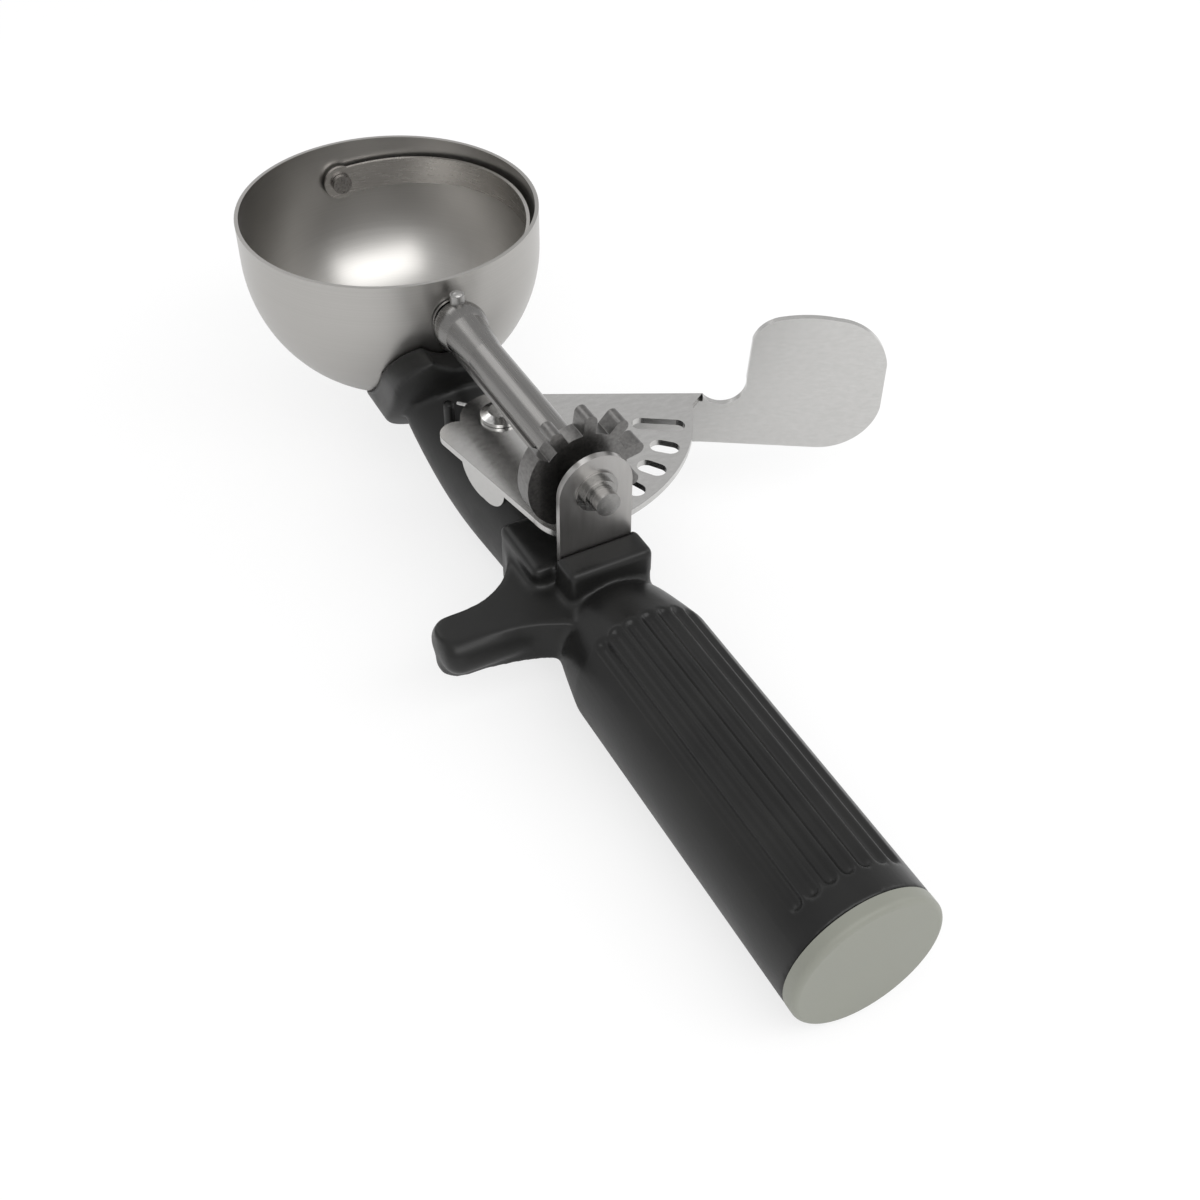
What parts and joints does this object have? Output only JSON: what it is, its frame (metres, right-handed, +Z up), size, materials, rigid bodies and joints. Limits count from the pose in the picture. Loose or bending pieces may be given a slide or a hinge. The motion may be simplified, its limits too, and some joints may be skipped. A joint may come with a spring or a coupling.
{
  "type": "ice cream scoop",
  "caption": "Lever ice cream scoop: a round steel bowl with a scraper blade turned by a slotted thumb lever and pinion, on a fluted black handle.",
  "frame": {"origin": "centre of the handle's flat butt face, on the grip's axis", "axes": "+Y along the grip to the bowl, +X to the thumb lever's side, +Z up out of the bowl's mouth"},
  "size_m": [0.1146, 0.2362, 0.0598],
  "materials": {
    "spun_steel": "satin",
    "spring_steel": "satin",
    "rivet_steel": "satin",
    "bush_steel": "machined",
    "rod_steel": "machined",
    "tube_steel": "satin",
    "pin_steel": "polished",
    "collar_steel": "satin",
    "pinion_steel": "machined",
    "bracket_steel": "satin",
    "stamped_steel": "polished",
    "spring_wire": "drawn",
    "core_steel": "mill",
    "black_plastic": "moulded",
    "grey_plastic": "moulded"
  },
  "bodies": {
    "handle_body": {"bowl": "spun_steel", "blade_pivot_rivet": "rivet_steel", "blade_pivot_washer": "rivet_steel", "front_bush": "bush_steel", "rear_bracket": "bracket_steel", "rear_bush": "bush_steel", "lever_pivot_pin": "pin_steel", "return_spring": "spring_wire", "handle_core": "core_steel", "handle": "black_plastic", "end_cap": "grey_plastic"},
    "ejector": {"scraper_blade": "spring_steel", "ejector_rod": "rod_steel", "ejector_tube": "tube_steel", "knuckle_cross_pin": "pin_steel", "pinion_collar": "collar_steel", "pinion": "pinion_steel"},
    "lever": {"thumb_lever": "stamped_steel"}
  },
  "joints": [
    {"name": "lever_pivot", "type": "hinge", "parent": "handle_body", "child": "lever", "pos_m": [0, 0.141, 0.0188], "axis": [0, 0, -1], "range_deg": [0, 55], "stiffness_Nm_per_rad": 0.25, "springref_deg": -22.92},
    {"name": "ejector_turn", "type": "hinge", "parent": "handle_body", "child": "ejector", "pos_m": [0, 0.2, 0.031], "axis": [0, 1, 0], "range_deg": [0, 165]}
  ],
  "couplings": [
    {"joint": "ejector_turn", "follows": "lever_pivot", "ratio": 3}
  ]
}
